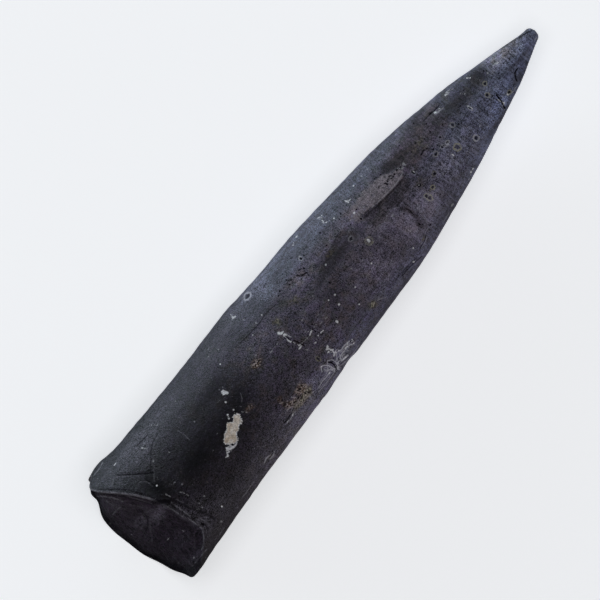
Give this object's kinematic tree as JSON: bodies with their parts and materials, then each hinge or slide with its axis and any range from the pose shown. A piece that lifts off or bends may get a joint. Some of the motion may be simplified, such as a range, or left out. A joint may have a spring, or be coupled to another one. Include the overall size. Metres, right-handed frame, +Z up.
{
  "type": "belemnite fossil",
  "caption": "Bullet-shaped belemnite guard of dark calcite, tapering to a worn apex, with an oblique break across its blunt end; it lies on its belly.",
  "frame": {"origin": "bottom centre of the guard's box as it lies at rest, on the surface that it lies on", "axes": "+X along the guard from the broken end to the apex, +Y across it, +Z up"},
  "size_m": [0.0901, 0.02, 0.0172],
  "materials": {
    "calcite": "dark, fibrous calcite worn to a dull sheen"
  },
  "bodies": {
    "root": {"guard": "calcite"}
  },
  "joints": []
}
